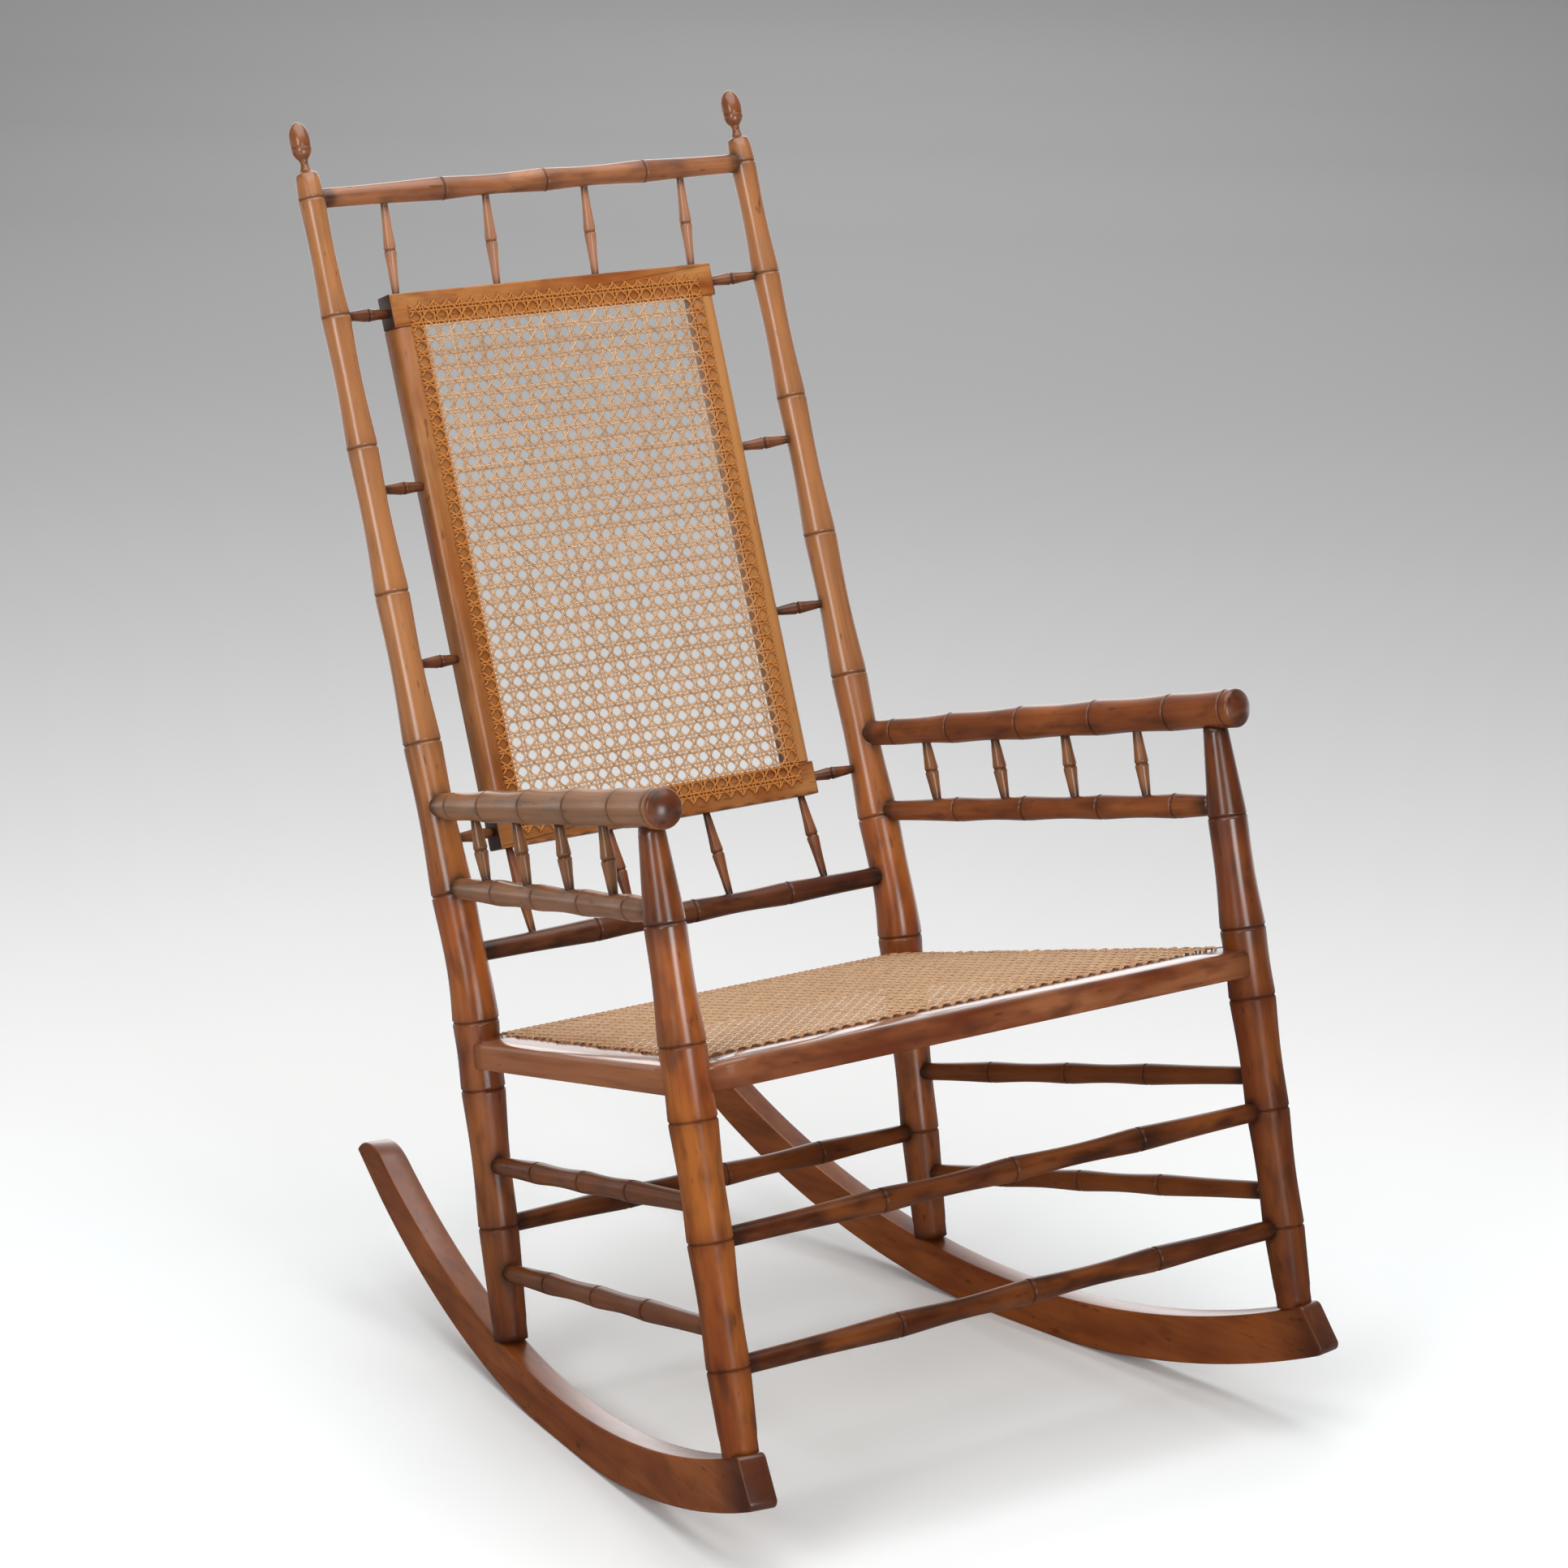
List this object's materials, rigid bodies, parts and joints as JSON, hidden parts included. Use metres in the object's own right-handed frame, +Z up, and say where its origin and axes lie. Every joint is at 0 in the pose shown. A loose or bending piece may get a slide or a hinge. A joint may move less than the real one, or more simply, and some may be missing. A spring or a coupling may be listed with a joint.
{
  "type": "rocking chair",
  "caption": "High-backed wooden rocking chair with bamboo-style turnings, acorn finials, spindled arms, a framed cane back panel and a cane seat on curved rockers.",
  "frame": {"origin": "centre of the footprint of the chair's bounding box, on the floor that the rockers stand on", "axes": "+Z up, the sitter faces -Y, +X to the sitter's left"},
  "size_m": [0.6362, 0.827, 1.0525],
  "materials": {
    "post": "glossy varnish",
    "rail": "glossy varnish",
    "stretcher": "dark glossy varnish",
    "arm": "worn glossy varnish",
    "rocker": "worn varnish",
    "panel": "golden glossy varnish",
    "seat": "glossy varnish",
    "cane": "natural cane"
  },
  "bodies": {
    "root": {"arm_left": "arm", "arm_rail_left": "arm", "arm_rail_right": "arm", "arm_right": "arm", "arm_spindle_left_1": "arm", "arm_spindle_left_2": "arm", "arm_spindle_left_3": "arm", "arm_spindle_left_4": "arm", "arm_spindle_right_1": "arm", "arm_spindle_right_2": "arm", "arm_spindle_right_3": "arm", "arm_spindle_right_4": "arm", "back_cane": "cane", "back_post_left": "post", "back_post_right": "post", "back_stretcher": "stretcher", "crest_rail": "rail", "crest_spindle_1": "rail", "crest_spindle_2": "rail", "crest_spindle_3": "rail", "crest_spindle_4": "rail", "front_post_left": "post", "front_post_right": "post", "front_stretcher_lower": "stretcher", "front_stretcher_upper": "stretcher", "lower_back_rail": "rail", "lower_spindle_1": "rail", "lower_spindle_2": "rail", "lower_spindle_3": "rail", "lower_spindle_4": "rail", "panel_bottom_rail": "panel", "panel_stile_left": "panel", "panel_stile_right": "panel", "panel_top_rail": "panel", "rocker_left": "rocker", "rocker_right": "rocker", "seat_back_rail": "seat", "seat_cane": "cane", "seat_front_rail": "seat", "seat_side_rail_left": "seat", "seat_side_rail_right": "seat", "side_spindle_left_1": "rail", "side_spindle_left_2": "rail", "side_spindle_left_3": "rail", "side_spindle_left_4": "rail", "side_spindle_right_1": "rail", "side_spindle_right_2": "rail", "side_spindle_right_3": "rail", "side_spindle_right_4": "rail", "side_stretcher_left_lower": "stretcher", "side_stretcher_left_upper": "stretcher", "side_stretcher_right_lower": "stretcher", "side_stretcher_right_upper": "stretcher"}
  },
  "joints": []
}
